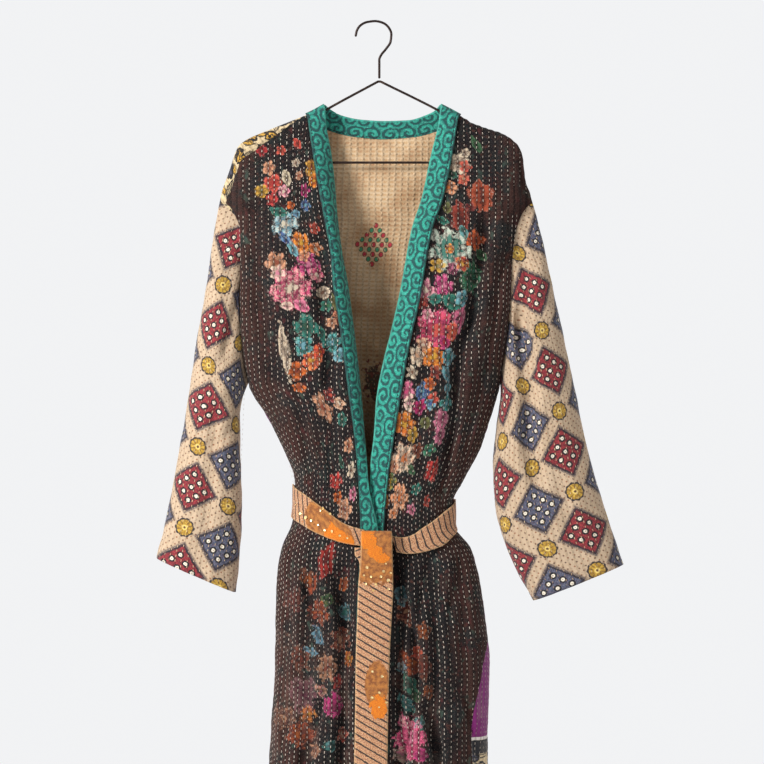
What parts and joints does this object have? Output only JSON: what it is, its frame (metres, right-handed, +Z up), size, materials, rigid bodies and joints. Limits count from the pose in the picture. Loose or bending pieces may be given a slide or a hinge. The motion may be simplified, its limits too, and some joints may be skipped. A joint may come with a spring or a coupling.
{
  "type": "kimono coat on a hanger",
  "caption": "Long quilted cotton kimono coat with a contrast neck band, wide sleeves and a tied belt, hung on a thin wire hanger.",
  "frame": {"origin": "inside top of the hanger's hook, where a rail or nail holds it", "axes": "+Z up, the coat's front faces -Y, +X to the viewer's right"},
  "size_m": [0.685, 0.191, 1.3447],
  "materials": {
    "back_cloth": "matte",
    "front_cloth": "matte",
    "sleeve_cloth": "matte",
    "band_cloth": "matte",
    "belt_cloth": "matte",
    "wire": "satin",
    "stitch_thread": "matte",
    "sequins": "satin"
  },
  "bodies": {
    "root": {"back": "back_cloth", "shoulder_strip": "back_cloth", "front_left": "front_cloth", "front_right": "front_cloth", "sleeve_left": "sleeve_cloth", "sleeve_right": "sleeve_cloth", "neck_band": "band_cloth", "belt_wrap": "belt_cloth", "belt_knot": "belt_cloth", "belt_tail": "belt_cloth", "belt_second_end": "belt_cloth", "hanger_frame": "wire", "hanger_hook": "wire"}
  },
  "joints": []
}
